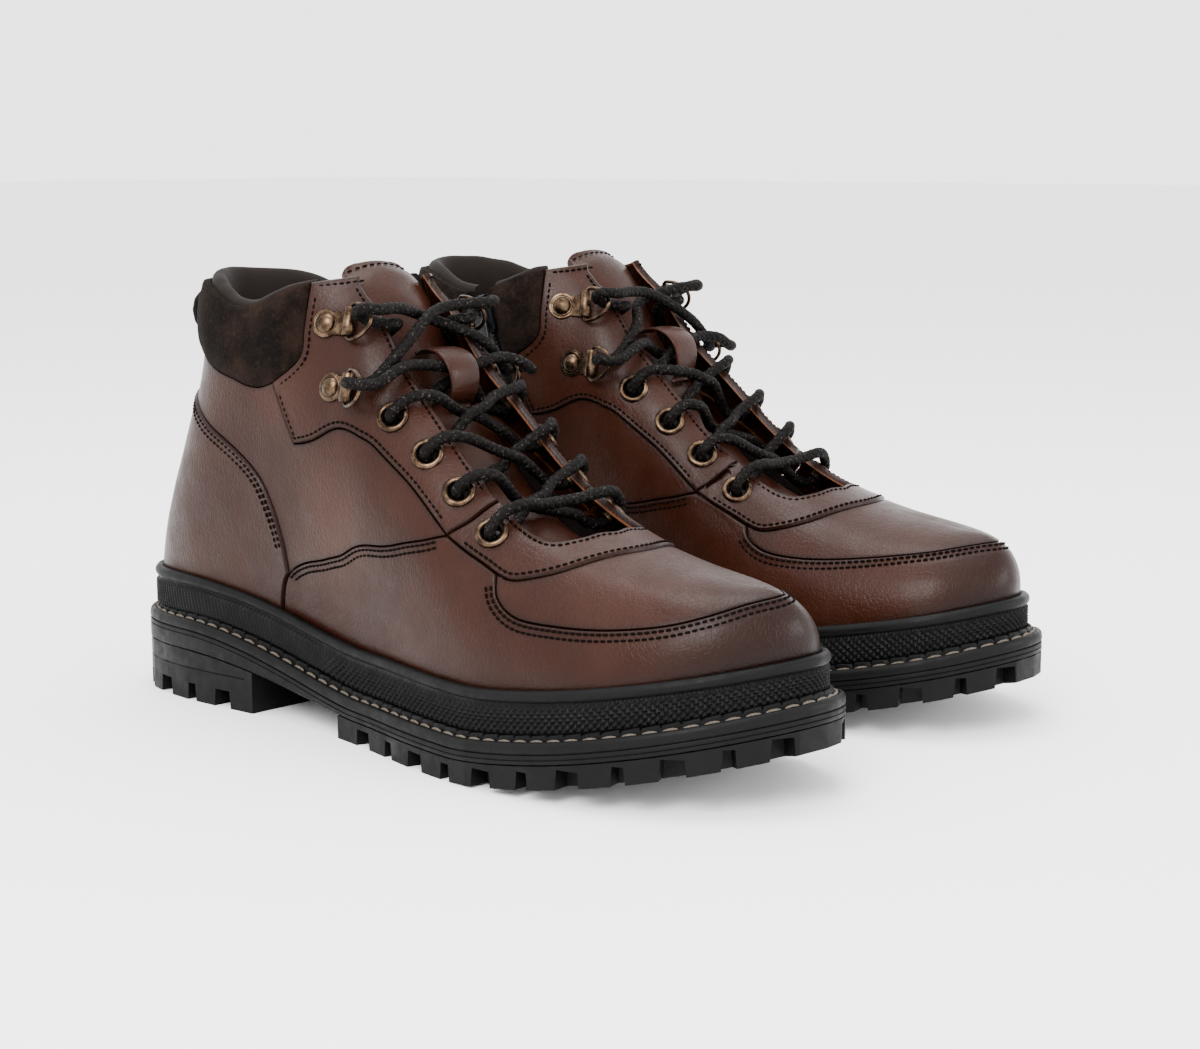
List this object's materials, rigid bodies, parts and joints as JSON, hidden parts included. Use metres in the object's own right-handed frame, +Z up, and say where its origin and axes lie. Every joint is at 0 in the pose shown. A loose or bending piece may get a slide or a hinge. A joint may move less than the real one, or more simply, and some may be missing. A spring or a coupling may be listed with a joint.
{
  "type": "lace-up boots",
  "caption": "Pair of brown leather lace-up hiking and hunting boots with padded collar, ring lacing, inner side zip and lugged rubber soles, standing side by side.",
  "frame": {"origin": "on the ground under the middle of the pair's box", "axes": "+Z up, the toes point towards -Y, the right boot is at -X and the left boot at +X"},
  "size_m": [0.2342, 0.3093, 0.1635],
  "materials": {
    "leather": "oiled, soft sheen",
    "suede": "napped",
    "lining": "brushed",
    "rubber": "moulded",
    "board": "pressed fibre",
    "brass": "antiqued",
    "gunmetal": "dark plated",
    "cord": "braided, waxed",
    "webbing": "woven"
  },
  "bodies": {
    "boots": {"left_apron": "leather", "left_collar": "suede", "left_collar_front_inner": "suede", "left_eyestay_inner": "leather", "left_eyestay_outer": "leather", "left_footbed": "lining", "left_foxing_band": "rubber", "left_heel_cover": "leather", "left_heel_stiffener": "board", "left_insole_board": "board", "left_lace": "cord", "left_lace_hardware": "brass", "left_lace_keeper": "leather", "left_lining": "lining", "left_midsole": "rubber", "left_outsole": "rubber", "left_pull_tab": "webbing", "left_quarter_inner": "leather", "left_quarter_outer": "leather", "left_throat_saddle": "leather", "left_toe_puff": "board", "left_toe_wall": "leather", "left_tongue": "leather", "left_zip_chain": "webbing", "right_apron": "leather", "right_collar": "suede", "right_collar_front_inner": "suede", "right_eyestay_inner": "leather", "right_eyestay_outer": "leather", "right_footbed": "lining", "right_foxing_band": "rubber", "right_heel_cover": "leather", "right_heel_stiffener": "board", "right_insole_board": "board", "right_lace": "cord", "right_lace_hardware": "brass", "right_lace_keeper": "leather", "right_lining": "lining", "right_midsole": "rubber", "right_outsole": "rubber", "right_pull_tab": "webbing", "right_quarter_inner": "leather", "right_quarter_outer": "leather", "right_throat_saddle": "leather", "right_toe_puff": "board", "right_toe_wall": "leather", "right_tongue": "leather", "right_zip_chain": "webbing"},
    "right_zip_slider": {"right_zip_slider": "gunmetal"},
    "right_zip_puller": {"right_zip_puller": "gunmetal"},
    "right_d_ring_lower_outer": {"right_d_ring_lower_outer": "brass"},
    "right_d_ring_lower_inner": {"right_d_ring_lower_inner": "brass"},
    "right_d_ring_upper_outer": {"right_d_ring_upper_outer": "brass"},
    "right_d_ring_upper_inner": {"right_d_ring_upper_inner": "brass"},
    "left_zip_slider": {"left_zip_slider": "gunmetal"},
    "left_zip_puller": {"left_zip_puller": "gunmetal"},
    "left_d_ring_lower_outer": {"left_d_ring_lower_outer": "brass"},
    "left_d_ring_lower_inner": {"left_d_ring_lower_inner": "brass"},
    "left_d_ring_upper_outer": {"left_d_ring_upper_outer": "brass"},
    "left_d_ring_upper_inner": {"left_d_ring_upper_inner": "brass"}
  },
  "joints": [
    {"name": "right_zip_slide", "type": "slide", "parent": "boots", "child": "right_zip_slider", "axis": [-0.0466, -0.315, -0.9479], "range_m": [0, 0.065]},
    {"name": "right_zip_pull_hinge", "type": "hinge", "parent": "right_zip_slider", "child": "right_zip_puller", "pos_m": [-0.02129, 0.06936, 0.14148], "axis": [-0.036, -0.9478, 0.3168], "range_deg": [-3, 170]},
    {"name": "right_ring_lower_outer_hinge", "type": "hinge", "parent": "boots", "child": "right_d_ring_lower_outer", "pos_m": [-0.09742, 0.02047, 0.12265], "axis": [-0.2299, -0.0113, -0.9731], "range_deg": [-7, 8]},
    {"name": "right_ring_upper_outer_hinge", "type": "hinge", "parent": "boots", "child": "right_d_ring_upper_outer", "pos_m": [-0.0888, 0.02766, 0.14402], "axis": [-0.3295, -0.1284, -0.9354], "range_deg": [-7, 8]},
    {"name": "right_ring_lower_inner_hinge", "type": "hinge", "parent": "boots", "child": "right_d_ring_lower_inner", "pos_m": [-0.02697, 0.01709, 0.1225], "axis": [-0.1825, 0.0353, 0.9826], "range_deg": [-7, 8]},
    {"name": "right_ring_upper_inner_hinge", "type": "hinge", "parent": "boots", "child": "right_d_ring_upper_inner", "pos_m": [-0.03345, 0.02508, 0.14395], "axis": [-0.2934, 0.153, 0.9437], "range_deg": [-7, 8]},
    {"name": "left_zip_slide", "type": "slide", "parent": "boots", "child": "left_zip_slider", "axis": [0.0499, -0.3145, -0.9479], "range_m": [0, 0.065]},
    {"name": "left_zip_pull_hinge", "type": "hinge", "parent": "left_zip_slider", "child": "left_zip_puller", "pos_m": [0.01989, 0.06752, 0.14148], "axis": [-0.0459, 0.9474, -0.3167], "range_deg": [-3, 170]},
    {"name": "left_ring_lower_outer_hinge", "type": "hinge", "parent": "boots", "child": "left_d_ring_lower_outer", "pos_m": [0.09652, 0.01942, 0.12265], "axis": [-0.23, 0.0089, 0.9731], "range_deg": [-7, 8]},
    {"name": "left_ring_upper_outer_hinge", "type": "hinge", "parent": "boots", "child": "left_d_ring_upper_outer", "pos_m": [0.08783, 0.02652, 0.14402], "axis": [-0.3309, 0.1249, 0.9354], "range_deg": [-7, 8]},
    {"name": "left_ring_lower_inner_hinge", "type": "hinge", "parent": "boots", "child": "left_d_ring_lower_inner", "pos_m": [0.02612, 0.01531, 0.1225], "axis": [-0.1821, -0.0372, -0.9826], "range_deg": [-7, 8]},
    {"name": "left_ring_upper_inner_hinge", "type": "hinge", "parent": "boots", "child": "left_d_ring_upper_inner", "pos_m": [0.03252, 0.02336, 0.14395], "axis": [-0.2918, -0.156, -0.9437], "range_deg": [-7, 8]}
  ]
}
